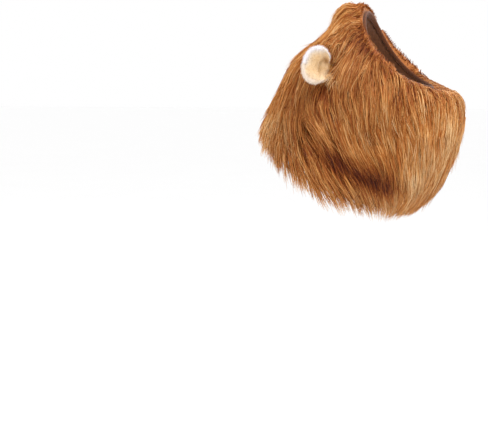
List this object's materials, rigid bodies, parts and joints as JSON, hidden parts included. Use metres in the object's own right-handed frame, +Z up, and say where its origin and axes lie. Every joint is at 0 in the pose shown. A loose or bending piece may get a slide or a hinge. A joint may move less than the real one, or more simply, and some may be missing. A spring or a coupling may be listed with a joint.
{
  "type": "pet costume wig",
  "caption": "Lion mane hood for a large dog: a slanting fabric cap with elastic hems, covered in layered locks of long hair, with cupped plush ears.",
  "frame": {"origin": "the crown seat: the point on the cap's inner face, a fifth of the way from the face opening to the neck opening, that rests on the wearer's crown", "axes": "+Z up, away from the wearer's crown; the face opening looks along -Y and upwards, as with a raised muzzle; +X is the wearer's left"},
  "size_m": [0.4076, 0.4494, 0.4554],
  "materials": {
    "cap_fabric": "brown stretch knit",
    "hem_fabric": "brown knit folded over elastic",
    "hair": "long synthetic hair, golden brown",
    "dark_hair": "long synthetic hair, darker reddish brown with golden tips",
    "white_plush": "white short-pile plush",
    "cream_plush": "cream short-pile plush"
  },
  "bodies": {
    "root": {"base_cap": "cap_fabric", "face_hem": "hem_fabric", "neck_hem": "hem_fabric", "upper_mane": "hair", "lower_mane": "dark_hair", "ear_right_shell": "white_plush", "ear_right_lining": "cream_plush", "ear_left_shell": "white_plush", "ear_left_lining": "cream_plush"}
  },
  "joints": []
}
